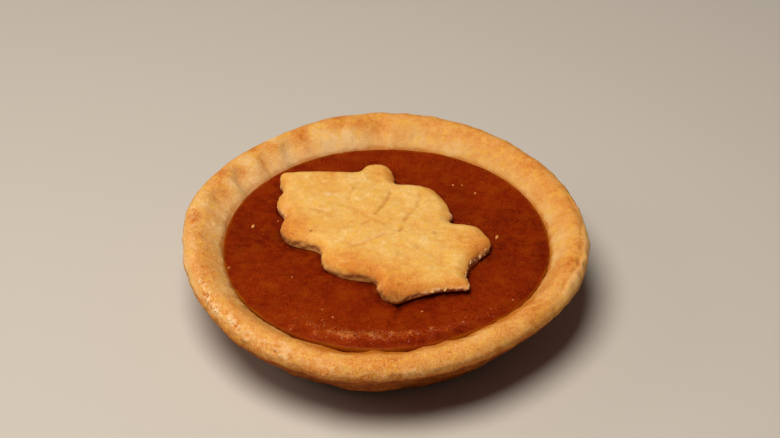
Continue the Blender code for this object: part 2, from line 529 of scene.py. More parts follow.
def bake_pastry(name, ramp, patch_size):
    material, shader = start_material(name, 0.80, 0.05)
    tree = material.node_tree
    patches = grain(tree, patch_size)
    spots = grain(tree, 1.9, 3.0, 0.6)
    sand = grain(tree, 0.45, 3.0, 0.7)
    dust = grain(tree, 0.65, 4.0, 0.7)
    tone = grain(tree, 2.4, 4.0, 0.7)
    crumble = grain(tree, 1.5, 4.0, 0.65)
    sandy, torn, toast = mask(tree, "sandy"), mask(tree, "torn"), mask(tree, "toast")
    uneven = 0.55 * (patches - 0.5) + (0.48 + 0.35 * sandy) * (spots - 0.5)
    uneven = uneven + (0.60 + 0.65 * sandy) * (sand - 0.5)
    raw = (1.2 - toast).clamped()
    heat = toast + uneven * raw + 0.35 * torn * between(crumble, 0.47, 0.38)
    colour = add_node(tree, "ShaderNodeValToRGB", {"stops": ramp}, {"Fac": heat.clamped()})
    colour = tint(between(tone, 0.48, 0.62) * 0.6 * raw, colour, BUTTER)
    flour = (between(dust, 0.50, 0.68) * (0.20 + 0.42 * sandy) + mask(tree, "pale")) * raw
    flour = flour + 0.7 * torn * between(crumble, 0.50, 0.57)
    colour = tint(flour.clamped(), colour, FLOUR)
    stain = mask(tree, "stain")
    colour = tint((stain * (0.55 + 1.1 * sand)).clamped(), colour, THIN_FILM)
    colour = tint(between(stain, 0.80, 1.05), colour, THICK_FILM)
    # painted shade from the shade mask, and on the shell also real custard splashes
    colour = tint(mask(tree, "shade"), colour, PASTRY_SHADE_AND_SPLASHES)
    put(colour, shader.inputs["Base Color"])
    put(0.65 + 0.3 * sand, shader.inputs["Roughness"])
    emboss(shader, 0.5 * dust + 0.3 * spots + 0.4 * sand + 2.0 * torn * crumble, 0.22)
    return material


PASTRY = bake_pastry("pastry", DOUGH_RAMP, 5.0)
print("pastry", len(PASTRY.node_tree.nodes), "nodes")

# %% [markdown]
# The leaf is the same dough, rolled thinner. It has taken more heat at its lobes than in its
# middle, so it only has its own ramp.

# %% Biscuit
BISCUIT_RAMP = (
    (0.00, (0.860, 0.570, 0.240)),
    (0.20, (0.760, 0.445, 0.118)),
    (0.40, (0.725, 0.345, 0.072)),
    (0.60, (0.660, 0.240, 0.038)),
    (0.80, (0.530, 0.165, 0.024)),
    (1.00, (0.200, 0.055, 0.008)),
)
BISCUIT = bake_pastry("biscuit", BISCUIT_RAMP, 4.5)
print("biscuit", len(BISCUIT.node_tree.nodes), "nodes")

# %% [markdown]
# Custard with pumpkin and brown sugar sets to a deep reddish brown with a satin skin. Along its
# front edge it has foamed, which makes it lighter, rougher and full of tiny holes: the mask named
# froth says where. The mask named rind is the thin edge, which dries to amber. Specks of spice
# and of sugar come from noise that is cut off high, so that only its peaks show.

# %% Custard
CUSTARD_RAMP = (
    (0.00, (0.025, 0.0015, 0.0001)),
    (0.30, (0.120, 0.0075, 0.0003)),
    (0.50, (0.200, 0.0150, 0.0004)),
    (0.75, (0.290, 0.0330, 0.0010)),
    (1.00, (0.480, 0.1300, 0.0250)),
)
AMBER = (0.255, 0.038, 0.0006, 1.0)
SUGAR = (0.40, 0.10, 0.008, 1.0)
SPICE = (0.060, 0.005, 0.0003, 1.0)
RIND = (0.31, 0.080, 0.0008, 1.0)


def set_custard():
    material, shader = start_material("custard", 0.50, 0.04)
    tree = material.node_tree
    shader.inputs["Coat Roughness"].default_value = 0.34
    froth = mask(tree, "froth")
    clouds = grain(tree, 9.0)
    mottle = grain(tree, 2.2, 4.0, 0.6)
    fine = grain(tree, 0.5, 3.0, 0.75)
    bubbles = grain(tree, 0.9, kind="ShaderNodeTexVoronoi")
    depth = 0.49 + 0.38 * (clouds - 0.5) + 0.38 * (mottle - 0.5) + 1.10 * (fine - 0.5)
    # each froth bubble is painted darker in its middle and lighter at its rim, as painted shade in the
    # pit and a painted highlight on the rim; the mask of lighter spots also holds painted highlights
    depth = depth + 0.16 * froth + 0.5 * froth * (bubbles - 0.45) + mask(tree, "light")
    depth = depth - mask(tree, "shade")
    colour = add_node(tree, "ShaderNodeValToRGB", {"stops": CUSTARD_RAMP}, {"Fac": depth.clamped()})
    colour = tint(between(grain(tree, 5.0, 4.0, 0.6), 0.44, 0.70) * 0.5, colour, AMBER)
    colour = tint(between(grain(tree, 1.1), 0.66, 0.74) * 0.45, colour, SUGAR)
    colour = tint(between(grain(tree, 0.9, 2.0), 0.66, 0.74) * 0.55, colour, SPICE)
    colour = tint((mask(tree, "rind") * (0.5 + fine)).clamped(), colour, RIND)
    put(colour, shader.inputs["Base Color"])
    put(0.42 + 0.2 * mottle, shader.inputs["Roughness"])
    put(0.02 + froth * between(mottle, 0.46, 0.60), shader.inputs["Coat Weight"])
    emboss(shader, 0.3 * fine + 0.3 * mottle + froth * bubbles, 0.3)
    return material


CUSTARD = set_custard()
print("custard", len(CUSTARD.node_tree.nodes), "nodes")

# %% [markdown]
# ## The shell
#
# Pastry pressed into a tin by hand is never quite round. It could be sculpted, but bumps that are
# added to a turned profile can each be set by where they lie. The stations give the wall from the
# underside over the rim and down inside. After its radius and height, each says how much of every
# kind of bump it takes: the rim's, the outer wall's, the inner wall's and the thumb's.

# %% Turn the shell
SHELL_COLUMNS = ("radius", "height", "rim", "outer", "inner", "flute")
SHELL_STATIONS = (
    (0.0, 0.0, 0.0, 0.0, 0.0, 0.0),        # middle of the underside
    (40.0, 0.0, 0.0, 0.0, 0.0, 0.0),
    (42.4, 0.9, 0.1, 0.3, 0.0, 0.0),
    (47.6, 6.6, 0.3, 0.8, 0.0, 0.0),
    (52.6, 12.8, 0.6, 1.0, 0.0, 0.0),
    (57.2, 18.2, 0.9, 0.6, 0.0, 0.0),
    (59.5, 21.3, 1.0, 0.2, 0.0, 0.0),      # widest
    (59.5, 23.3, 1.0, 0.0, 0.0, 0.0),
    (58.3, 24.9, 1.0, 0.0, 0.0, 0.0),      # trimmed edge
    (56.3, 25.6, 1.0, 0.0, 0.0, 0.2),      # crest
    (53.8, 25.0, 0.9, 0.0, 0.2, 0.6),
    (51.4, 23.2, 0.6, 0.0, 0.7, 1.0),
    (49.3, 21.2, 0.2, 0.0, 1.0, 0.5),
    (47.4, 18.4, 0.0, 0.0, 0.8, 0.0),      # under the custard
    (45.0, 13.4, 0.0, 0.0, 0.4, 0.0),
    (42.0, 8.2, 0.0, 0.0, 0.1, 0.0),
    (39.4, 4.9, 0.0, 0.0, 0.0, 0.0),
    (36.4, 3.4, 0.0, 0.0, 0.0, 0.0),
    (0.0, 3.4, 0.0, 0.0, 0.0, 0.0),
)
AT_BASE, AT_WIDEST, AT_EDGE, AT_CREST, AT_WATER = 1, 6, 8, 9, 13
SHELL_ROUNDING = 2.6
SHELL_STEPS = 720          # round the pie

marks = profile_marks(SHELL_STATIONS)
shell_paces = ((marks[AT_BASE] - 2, 3.0), (marks[AT_WIDEST] - 6, 0.75), (marks[AT_WATER] + 3, 0.42),
               (marks[-1], 3.0))
profile = even_profile(SHELL_STATIONS, SHELL_COLUMNS, SHELL_ROUNDING, shell_paces)
shell_mesh = turned("pastry_shell", profile, SHELL_STEPS, PASTRY)

# %% [markdown]
# Smooth bumps bend the shell out of round. Each has an azimuth, counted in degrees from the right
# of the pie towards its back, a half width in degrees and an amount. The rim reaches out where
# there was dough to spare, and the thumb has left a row of flutes at the back left. Where the wall
# meets the custard, its line wanders by noise that is read round a circle.

# %% Bend the shell
RIM_REACH = ((163, 24, 1.3), (143, 16, 0.5), (98, 34, 1.0), (66, 22, 0.6), (-98, 22, 0.7),
             (-50, 40, -1.1))
RIM_LIFT = ((88, 80, 1.4), (-120, 60, -1.0))
OUTER_BELLY = ((-132, 44, 1.8), (-98, 16, 1.2), (-78, 14, -0.8))
INNER_BELLY = ((-58, 46, -1.6), (180, 50, -0.5), (90, 60, -0.5))
THUMB_MARKS = (
    (146, 6, 2.3), (160, 6, 1.7), (124, 6, 2.0), (135, 5, 1.3), (112, 6, -1.0), (153, 5, -1.2),
    (93, 6, 1.4), (104, 6, -0.9), (172, 8, -0.6), (140, 5, -1.1), (129, 4, -0.7), (78, 8, 0.9),
    (60, 9, -0.4),
)
SHORE_BUMPS = ((-94, 5, -1.1), (-103, 4, 0.4), (-84, 5, 0.5), (-70, 5, -0.4))
SHORE_RADIUS = 50.0


def bend(points, outwards, upwards):
    """Move points away from the middle, and up."""
    radius = np.maximum(np.hypot(points[:, 0], points[:, 1]), 1e-6)
    share = (radius + outwards) / radius
    return np.column_stack([points[:, 0] * share, points[:, 1] * share, points[:, 2] + upwards])


points = points_of(shell_mesh)
azimuth = azimuth_of(points)
share = {name: read_mask(shell_mesh, name) for name in ("along", "rim", "outer", "inner", "flute")}
along = share["along"]
outwards = (share["rim"] * swell(azimuth, RIM_REACH) + share["outer"] * swell(azimuth, OUTER_BELLY)
            + share["inner"] * swell(azimuth, INNER_BELLY) + share["flute"] * swell(azimuth, THUMB_MARKS))
turn = np.radians(azimuth)
circle = np.column_stack([np.cos(turn), np.sin(turn), 0 * azimuth]) * SHORE_RADIUS
shore = (swell(azimuth, SHORE_BUMPS) + 0.35 * noise(circle, 6, 8) + 0.32 * noise(circle, 2.3, 9)
         + 0.16 * noise(circle, 1.1, 14))
outwards += share["inner"] * shore
points = bend(points, outwards, share["rim"] * swell(azimuth, RIM_LIFT))
set_points(shell_mesh, points)
normals = normals_of(shell_mesh)
print("bent by", round(outwards.min(), 1), "to", round(outwards.max(), 1), "mm")

# %% [markdown]
# Next come three shares from 0 to 1: how much a point shows, and how far it belongs to the outer
# and to the inner wall. Some marks run with the wall rather than through space, such as the
# streaks that the rolling pin left. For these the noise is read at the point's way round and its
# way along the profile, each with a scale of its own, so that a lump becomes a long streak.

# %% Know the walls
def round_the_wall(azimuth, along, stretch_round, stretch_along):
    """Return places for noise that is stretched round the pie or along the profile."""
    reach = shell_high.x / stretch_round
    turn = np.radians(azimuth)
    return np.column_stack([reach * np.cos(turn), reach * np.sin(turn), along / stretch_along])


shows = (step_up(along, marks[AT_BASE], marks[AT_BASE] + 6)
         * (1 - step_up(along, marks[AT_WATER], marks[AT_WATER] + 3)))
outer_wall = 1 - step_up(along, marks[AT_EDGE] - 3, marks[AT_EDGE] + 1)
inside = step_up(along, marks[AT_CREST] + 1.5, marks[AT_WATER] - 1.5)
print("outer wall", int((outer_wall > 0.5).sum()), "points, inner wall", int((inside > 0.5).sum()))

# %% [markdown]
# The spare dough was cut away along the rim, which left a torn ridge, most of all at the front
# left. It could be carved by hand, but a line that wanders by noise gives the same ragged look and
# can be moved. Pits and flakes lie along it, with thin slivers of pulled dough, and two blisters
# have burst into small rings.

# %% Tear the edge
TORN = ((-148, 30, 1.0), (-117, 26, 0.45), (-84, 30, 0.4), (176, 24, 0.35))
TORN_WAY = (    # azimuth, and how far past the trimmed edge the torn line runs there
    (-180, 1.5), (-160, 1.3), (-140, 0.0), (-122, -0.5), (-110, -1.0), (-95, -2.6), (-50, -2.0),
    (0, 0.0), (100, 0.0), (165, 1.5), (180, 1.5),
)
RINGS = ((-130.6, -0.6, 1.3), (-133.8, -0.5, 0.8))     # azimuth, way past the edge, radius
PULLED = ((-119, 22, 1.0),)

torn_line = marks[AT_EDGE] + np.interp(azimuth, *zip(*TORN_WAY)) + 0.8 * noise(points, 6, 3)
torn_line = torn_line + 0.35 * noise(points, 2.5, 4)
torn = swell(azimuth, TORN) * hump(along, torn_line, 1.35)
torn *= (0.7 + 0.9 * noise(points, 4.5, 10)).clip(0.1, 1.1)
ring, hollow = np.zeros(len(points)), np.zeros(len(points))
for centre, past_edge, radius in RINGS:
    gap = np.hypot(radians(1) * (azimuth - centre) * shell_high.x, along - marks[AT_EDGE] - past_edge)
    ring = np.maximum(ring, hump(gap, radius, 0.4))
    hollow = np.maximum(hollow, hump(gap, 0, 0.6 * radius))
    torn *= 1 - 0.9 * hump(gap, 0, 1.7 * radius)
blister = ring - 0.7 * hollow
tears = rough(round_the_wall(azimuth, along, 2.0, 1.2), 1.0, 11, 2)
pits = torn * step_up(tears, 0.14, 0.55)
flakes = torn * step_up(-tears, -0.02, 0.25)
slivers = step_up(noise(round_the_wall(azimuth, along, 3.0, 0.7), 1.0, 13), 0.12, 0.4)
slivers = slivers * swell(azimuth, PULLED) * hump(along, marks[AT_EDGE] + 0.3, 1.8)
print("torn", int((torn > 0.3).sum()), "points")

# %% [markdown]
# At the right the dough was folded under, so its lip has a crease beneath it and small knuckles on
# it. Streaks run round the front of the outer wall. Then all of it is added to the lumps of the
# dough, and the points move by that sum along their normals, which is what a Displace modifier
# would do for one pattern at a time.

# %% Roughen the shell
FOLD = ((-17, 24, 1.0), (8, 16, 0.5))
KNUCKLES = ((-12, 2.6, 0.7), (-17, 2.4, 0.6), (-22, 2.8, 0.7), (-4, 3.4, 0.3), (-28, 3.0, 0.3))
STREAKED = ((-95, 70, 1.0),)

fold_line = marks[AT_EDGE] + 0.9 + 0.7 * noise(points, 9, 5) + 0.45 * noise(points, 2.6, 6)
crease = swell(azimuth, FOLD) * hump(along, fold_line, 0.5)
crease *= (0.6 + 1.1 * noise(points, 3.4, 7)).clip(0.1, 1.2)
lip = swell(azimuth, FOLD) * hump(along, fold_line - 1.0, 0.7)
streaks = noise(round_the_wall(azimuth, along, 6.0, 0.9), 1.0, 12)
streaks *= swell(azimuth, STREAKED) * outer_wall

lumps = 0.24 * rough(points, 8, 21, 2) + 0.17 * rough(points, 3.1, 31, 3)
relief = lumps * (0.85 + 0.5 * outer_wall - 0.2 * inside) - 0.5 * pits + 0.28 * flakes
relief += 0.28 * blister
relief += 0.3 * lip - 0.5 * crease + 0.14 * streaks + 0.15 * slivers
relief += swell(azimuth, KNUCKLES) * hump(along, marks[AT_EDGE] - 1.2, 1.7)
relief *= shows
points = points + normals * relief[:, None]
points[:, 2] = np.maximum(points[:, 2], 0.0)
set_points(shell_mesh, points)
print("relief from", round(relief.min(), 2), "to", round(relief.max(), 2), "mm")

# %% [markdown]
# ## How brown the shell is
#
# The crest takes the oven's heat first and turns orange. The outer wall gets darker towards the
# bottom: partly it browned against hot metal, and partly this is painted shade under the wide rim.
# The inside is shaded by the custard and stays pale. The rim has its own pale and orange patches
# besides, listed by azimuth and radius, and the small orange spots among the thumb marks at the
# back left are painted shade in the dents. Pits, the crease and the hollows of the relief are
# painted browner and the bumps paler: painted shade and painted light. All of this is painted as
# one mask, toast, which the material turns into colour.

# %% Toast the shell
PATCHES = (     # azimuth, radius, size, amount: below zero is paler
    (165, 56.5, 2.8, -0.26), (152, 53.0, 2.2, -0.24), (140, 54.0, 2.6, -0.26), (128, 57.0, 2.8, -0.24),
    (127, 50.5, 2.2, -0.18), (112, 52.0, 3.2, -0.26), (103, 50.5, 2.8, -0.20), (99, 58.5, 2.0, -0.24),
    (150, 57.5, 2.2, 0.18), (157, 53.0, 1.8, 0.22), (135, 57.5, 2.4, 0.14), (119, 54.5, 2.8, 0.22),
    (115, 58.5, 2.8, 0.14), (105, 57.0, 3.2, 0.14), (97, 55.5, 3.0, 0.12), (173, 56.5, 2.6, 0.16),
    # the first six spots from here on are painted shade in the thumb dents, not browning
    (145, 53.8, 1.6, 0.20), (149, 52.4, 1.4, 0.18), (161, 54.0, 1.6, 0.16), (124, 50.2, 1.5, 0.16),
    (93, 53.0, 2.0, 0.16), (136, 51.9, 1.5, 0.14), (-177, 54.8, 4.0, 0.10), (-168, 53.2, 4.0, 0.12),
    (-160, 53.4, 3.5, 0.08), (24, 51.5, 4.0, 0.08), (9, 54.5, 4.5, 0.12), (-17, 53.5, 5.0, 0.14),
    (-39, 55.9, 4.0, 0.10), (35, 55.0, 5.0, 0.08), (60, 57.0, 5.0, 0.08), (-62, 52.0, 4.0, -0.08),
)
FRONT = ((-90, 100, 1.0),)
BACK_LEFT = ((138, 60, 1.0),)
PALE_LIP = ((-168, 34, 1.0), (-7, 34, 0.6))

patch_spots = [(radius * cos(radians(centre)), radius * sin(radians(centre)), size, amount)
               for centre, radius, size, amount in PATCHES]
crest = hump(along, marks[AT_CREST] - 0.3, 3.4)
low_wall = step_up(marks[AT_EDGE] - along, 0.5, 9.0)
mottle = noise(round_the_wall(azimuth, along, 4.6, 6.5), 1.0, 43)
mottle *= 0.5 + 0.5 * swell(azimuth, BACK_LEFT)
pale_lip = swell(azimuth, PALE_LIP) * hump(along, marks[AT_EDGE] - 1.6, 1.3)
toast = 0.36 + 0.06 * crest + 0.10 * swell(azimuth, FRONT) * (1 - inside) - 0.13 * inside
# darker towards the bottom of the outer wall: partly browning, partly painted shade under the rim
toast += 0.54 * low_wall
toast += 0.04 * rough(points, 13, 41, 2) + 0.16 * mottle * (1 - low_wall)
toast += 1.4 * spots_at(points, patch_spots) * step_up(along, marks[AT_EDGE] - 2.6, marks[AT_EDGE] + 0.4)
# pits, the crease and the blister hollows are painted browner: painted shade
toast += (0.12 * crease + 0.20 * pits + 0.10 * hollow - 0.10 * flakes - 0.20 * pale_lip
          + 0.12 * streaks * (0.4 + low_wall))
# browner in every hollow and paler on every bump: painted shade and painted light
toast += 0.12 * (-relief).clip(-0.3, 0.3)
store_masks(shell_mesh, toast=toast)
print("toast from", round(toast.min(), 2), "to", round(toast.max(), 2))

# %% [markdown]
# Custard rises in the oven and sinks again. What clung to the pastry dried to a thin amber film: a
# band that follows the waterline, wider at the right, and along the front a film that climbs
# towards the crest. It could be painted by hand, but a rule by height and azimuth follows the wall
# wherever it bends. Noise makes its upper line uneven.

# %% Stain the shell
CUSTARD_RIM = 20.4                          # how high the custard stands against the wall
FRONT_PUFF = ((-95, 75, 1.4),)              # and where it stands higher
RIGHT = ((-35, 75, 1.0),)
KEPT_CLEAN = ((152, 36, 1.0),)
FILMED = ((-100, 34, 1.0), (-134, 24, 0.3), (-60, 34, 0.8), (-36, 28, 0.6))
DARKEST = ((-84, 13, 1.0),)

above_water = points[:, 2] - (CUSTARD_RIM + 0.5 * swell(azimuth, FRONT_PUFF))
soaked = 0.7 + 0.5 * noise(points, 3, 42)
to_right = swell(azimuth, RIGHT)
stain = (0.60 + 0.30 * to_right - 0.3 * swell(azimuth, KEPT_CLEAN)) * inside
stain *= 1 - step_up(above_water, -0.1 + 0.3 * to_right, (0.7 + 1.5 * to_right) * soaked)
film_line = marks[AT_CREST] + 2.9 + 1.0 * to_right + 0.9 * noise(points, 4, 44)
film_line = film_line + 0.7 * noise(points, 1.5, 45)
film = swell(azimuth, FILMED).clip(0, 1) * step_up(along, film_line - 1.9, film_line + 1.9)
stain = np.maximum(stain, film)
stain = np.minimum(stain, 0.80 + 0.25 * swell(azimuth, DARKEST))
store_masks(shell_mesh, stain=stain)
print("stained", int((stain > 0.3).sum()), "points")

# %% [markdown]
# The last masks are the pale parts, where flakes, slivers and the folded lip show flour, and the
# dark ones: painted shade in the corner beside the custard and in the crease, a few real splashes
# of custard at the left, and a short slit at the right, painted as a pale edge over a painted
# shadow line. Two more say how sandy the pastry is and where flakes will be sown.

# %% Pale and dark marks of the shell
SPLASHES = ((-155, 2.0, 0.8), (-149, 1.6, 0.7), (-143, 2.4, 0.9), (-137, 1.4, 0.6), (-131, 1.8, 0.6),
            (-160, 1.4, 0.5))
PALE_WALL = ((132, 68, 1.0),)
PALE_CREST = ((-170, 16, 1.0),)
SLIT = ((-43, 8, 1.0),)
SANDY = ((-90, 100, 1.0), (180, 70, 0.7), (140, 60, 0.3))

slit = swell(azimuth, SLIT)
pale = (0.34 * flakes + 0.5 * slivers + 0.40 * ring + 0.12 * step_up(streaks, 0.25, 0.6)
        + 0.20 * pale_lip + 0.25 * lip)
pale += inside * (0.06 + 0.32 * swell(azimuth, PALE_WALL))
pale += 0.5 * slit * hump(along, marks[AT_CREST] + 6.0, 0.35)
pale += (0.35 * swell(azimuth, PALE_CREST) * hump(along, marks[AT_CREST], 1.2)
         * step_up(tears, 0.0, 0.4))
# painted shade where the wall meets the custard; the splashes added next are real stains
corner_shade_and_splashes = 0.10 * inside * step_up(-above_water, -1.6, 0.2) * (1 - stain)
corner_shade_and_splashes += swell(azimuth, SPLASHES) * hump(above_water, 0.6, 1.0)
# the slit's dark line and the crease are painted shade
shade = corner_shade_and_splashes + 0.8 * slit * hump(along, marks[AT_CREST] + 6.8, 0.35) + 0.25 * crease
rugged = swell(azimuth, SANDY) * (1 - 0.4 * outer_wall)
store_masks(shell_mesh, pale=pale.clip(0, 1), torn=(1.2 * torn).clip(0, 1), shade=shade,
            sandy=0.25 + 0.35 * outer_wall + 0.85 * rugged,
            flaky=(flakes * step_up(flakes, 0.3, 0.6)).clip(0, 1))
shell = link_piece("pastry_shell", shell_mesh)
print("masks", [item.name for item in shell_mesh.attributes if item.data_type == "FLOAT"])

# %% [markdown]
# ## The leaf
#
# The leaf is cut from rolled dough, so its outline is the cutter's, with straight sides and a soft
# top edge. The frame already holds that solid. A voxel remesh turns it into an even skin of small
# faces, which can then be pressed and puffed like dough.

# %% Remesh the leaf
LEAF_SKIN = 0.42           # the size of its faces
SOFTENING = 6


def even_skin(node, name):
    """Return a smooth, evenly meshed copy of a CAD node."""
    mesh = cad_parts[node].data.copy()
    mesh.materials.clear()
    item = link_piece(name, mesh)
    weld = item.modifiers.new("weld", "WELD")
    weld.merge_threshold = MERGED * MM
    remesh = item.modifiers.new("remesh", "REMESH")
    remesh.mode = "VOXEL"
    remesh.voxel_size = LEAF_SKIN * MM
    smooth = item.modifiers.new("smooth", "SMOOTH")
    smooth.factor = 0.5
    smooth.iterations = SOFTENING
    return plain_copy(item, name)


leaf_mesh = even_skin("leaf", "pastry_leaf")
print("leaf", len(leaf_mesh.vertices), "points,", len(leaf_mesh.polygons), "faces")

# %% [markdown]
# What the oven did to a point depends on where it lies: how far in from the outline, how high, and
# whether on the top, the side or the underside. Marks on the leaf are easiest to place in its own
# directions, `u` from the tip to the stem and `v` across.

# %% Know the leaf
LEAF_CENTRE = (-2.0, 4.8)
LEAF_TURN = -45.0


def leaf_directions(points):
    turn = radians(LEAF_TURN)
    x, y = points[:, 0] - LEAF_CENTRE[0], points[:, 1] - LEAF_CENTRE[1]
    return np.column_stack([x * cos(turn) + y * sin(turn), y * cos(turn) - x * sin(turn)])


def distance_to_points(places, others):
    """Return how far places in a plane are from the nearest of some other points."""
    tree = KDTree(len(others))
    for index, (x, y) in enumerate(others):
        tree.insert((x, y, 0.0), index)
    tree.balance()
    return np.array([tree.find((x, y, 0.0))[2] for x, y in places])


points = points_of(leaf_mesh)
normals = normals_of(leaf_mesh)
middle_height = (leaf_low.z + leaf_high.z) / 2
is_side = (np.abs(normals[:, 2]) < 0.4) & (np.abs(points[:, 2] - middle_height) < 0.9)
leaf_edge = points[is_side][:, :2]
inset = distance_to_points(points[:, :2], leaf_edge)
share_up = ((points[:, 2] - leaf_low.z) / (leaf_high.z - leaf_low.z)).clip(0, 1)
on_top = step_up(normals[:, 2], 0.15, 0.75)
under = step_up(-normals[:, 2], 0.3, 0.8)
side = (1 - on_top - under).clip(0, 1)
places = leaf_directions(points)
print("leaf edge", len(leaf_edge), "points, up to", round(inset.max(), 1), "mm inland")

# %% [markdown]
# The veins were marked with the back of a knife: a shallow groove along the middle and a few to
# each side, two of them with a raised side. They could be painted as bump, but a groove that is
# real shape catches the light in every view. Its depth comes from how far a point is from the
# nearest line, and noise breaks it up. The grooves are also painted with shade, and the raised
# sides with a pale painted highlight.

# %% Mark the veins
# the second number is the strength of a painted highlight along the raised side
VEINS = (       # how deep, how pale its raised side is, and its line
    (0.45, 0.0, ((-16.8, -3.5), (-12.2, -0.7), (-7.5, -0.1), (-1.0, 0.8), (6.0, 0.6))),
    (0.90, 0.0, ((-18.7, 9.2), (-16.3, 3.3), (-15.3, 2.0))),
    (1.00, 0.0, ((-7.9, 12.3), (-6.2, 8.8), (-5.0, 4.8), (-4.1, 2.8))),
    (0.65, 0.0, ((-0.6, 18.5), (1.5, 15.3), (4.0, 8.0))),
    (1.00, 0.0, ((4.0, 8.0), (5.7, 4.6), (7.2, 1.6))),
    (0.55, 0.0, ((-2.7, -1.0), (-3.8, -5.4), (-5.7, -9.0), (-5.7, -10.7))),
    (0.55, 1.0, ((6.4, -0.3), (4.6, -2.7), (3.9, -6.8), (3.5, -9.8), (1.4, -12.5))),
    (0.35, 1.0, ((-19.5, -8.5), (-17.3, -7.5), (-14.2, -5.6))),
)
BELOW = np.array([0.5, -0.5])               # from a pale ridge to the groove in front of it
GROOVE_WIDTH = 0.62
RIDGE_WIDTH = 0.27


def distance_to_line(places, line):
    """Return how far places in a plane are from a line of straight stretches."""
    nearest = np.full(len(places), np.inf)
    for first, last in zip(np.array(line[:-1], float), np.array(line[1:], float)):
        way = last - first
        part = np.clip((places - first) @ way / (way @ way), 0, 1)
        gap = places - first - part[:, None] * way
        nearest = np.minimum(nearest, np.hypot(gap[:, 0], gap[:, 1]))
    return nearest


wobble = np.column_stack([noise(points, 3.5, 51), noise(points, 3.5, 52)]) * 0.55
inland = step_up(inset, 0.8, 2.5)
vein, ridge = np.zeros(len(points)), np.zeros(len(points))
for depth, ridge_highlight, line in VEINS:
    groove = hump(distance_to_line(places + wobble - ridge_highlight * BELOW, line), 0, GROOVE_WIDTH)
    raised = hump(distance_to_line(places + wobble, line), 0, RIDGE_WIDTH)
    vein = np.maximum(vein, depth * groove)
    ridge = np.maximum(ridge, ridge_highlight * raised)
broken = (0.8 + 0.8 * noise(points, 2.4, 53) + 0.6 * noise(points, 0.9, 54)).clip(0.0, 1.2)
vein, ridge = vein * inland * broken, ridge * inland * broken
print("veins", len(VEINS), "over", int((vein > 0.2).sum()), "points")

# %% [markdown]
# In the oven the top puffs up in lumps, its edge rounds off, and the outline frays where the cutter
# dragged. The foot of the side is drawn in, so that the leaf rests on the custard with a thin dark
# gap under its edge, wider where the right shoulder has lifted.

# %% Puff the leaf and fray its outline
TABS = (        # where the outline sticks out: u, v, size, amount
    (11.0, 19.6, 1.2, 1.5), (38.0, -1.5, 1.2, 0.9), (-31.0, -9.5, 1.5, 0.6), (19.6, -18.6, 0.9, 0.7),
)
LIFTED_EDGE = ((28, -17), (36, -3))         # where the leaf stands off the custard

rounded = 1.35 * (1 - step_up(inset, -0.4, 3.4))
puff = 0.26 * rough(points, 9, 61, 2) + 0.16 * rough(points, 2.6, 71, 3)
lifted = hump(distance_to_line(places, LIFTED_EDGE), 0, 3.0)
lift = share_up * (1.2 + (1 - side) * puff - rounded) - on_top * (0.26 * vein - 0.08 * ridge)
lift = lift + 0.5 * share_up * spots_at(places, TABS[:1])
lift = lift - (1 - share_up) * (0.75 - 1.1 * lifted)
outline = 0.60 * noise(points, 4.5, 81) + 0.50 * noise(points, 1.7, 82) + 0.30 * noise(points, 0.9, 83)
outline = outline * (0.5 + 0.5 * share_up) - 0.45 * (1 - share_up) ** 2 + spots_at(places, TABS)
sideways = normals * (1 - np.abs(normals[:, 2]))[:, None] * outline[:, None]
points = points + sideways * (1, 1, 0)
points[:, 2] += lift
set_points(leaf_mesh, points)
print("leaf top moves", round(lift.min(), 2), "to", round(lift.max(), 2), "mm")

# %% [markdown]
# The lobes stick out into the heat and brown first, and so does the thin edge. The two broken sides
# stay pale and rough, and a few blobs of flour lie on the top. A few small holes are only painted
# dark, as painted shade, and the veins and the lower half of each side get painted shade as well.
# Each list is given in the leaf's own directions.

# %% Brown the leaf
HOT_SPOTS = (
    (-18.0, -19.0, 6.0, 0.32), (-14.0, -14.0, 6.0, 0.08), (25.0, -18.0, 7.5, 0.47),
    (5.0, -18.5, 6.0, 0.24), (13.0, -15.5, 6.0, 0.28), (30.0, 12.0, 6.0, 0.38),
    (24.0, 17.0, 5.0, 0.14), (-15.0, 20.0, 5.0, 0.18), (0.0, 22.0, 4.0, 0.14),
    (-28.0, -11.0, 4.0, 0.14), (-30.0, 8.0, 5.0, 0.12), (34.0, -6.0, 5.0, 0.18),
    (-27.0, 2.0, 9.0, 0.11), (-3.0, -6.0, 5.0, 0.10), (18.0, -6.0, 5.0, 0.08),
)
# small holes with no shape of their own, painted dark: painted shade
PRICKS = ((14.9, 8.2, 0.7, 0.5), (15.9, -0.2, 1.0, 0.3), (14.3, -6.2, 0.9, 0.25), (21.1, 0.0, 0.8, 0.2),
          (-11.3, -16.9, 0.38, 1.8))
FLOUR_BLOBS = ((-20.6, -0.9, 0.9, 0.8), (-19.2, 0.6, 0.6, 0.5), (-26.0, -14.0, 1.6, 0.25),
               (33.0, 6.0, 1.6, 0.3))
BROKEN_TIP = (-26, -14)
BROKEN_STEM = (27, 31)                      # between these two values of u the break begins

edge_heat = 1 - step_up(inset, 0.2, 3.2)
toast = 0.24 + 0.16 * edge_heat * on_top + 0.08 * rough(points, 7, 91, 3) + spots_at(places, HOT_SPOTS)
# the veins are painted browner here too, as painted shade
toast += 0.18 * side - 0.2 * puff * on_top + 0.16 * vein
at_tip = np.hypot(places[:, 0] - BROKEN_TIP[0], places[:, 1] - BROKEN_TIP[1])
broken_side = step_up(places[:, 0], *BROKEN_STEM) + hump(at_tip, 0, 3.0)
bare_side = side * broken_side.clip(0, 1)
# the ridges' paleness is a painted highlight
pale = 0.25 * side + 0.15 * bare_side + on_top * (0.45 * ridge + spots_at(places, FLOUR_BLOBS))
pale += 0.35 * spots_at(places, TABS)
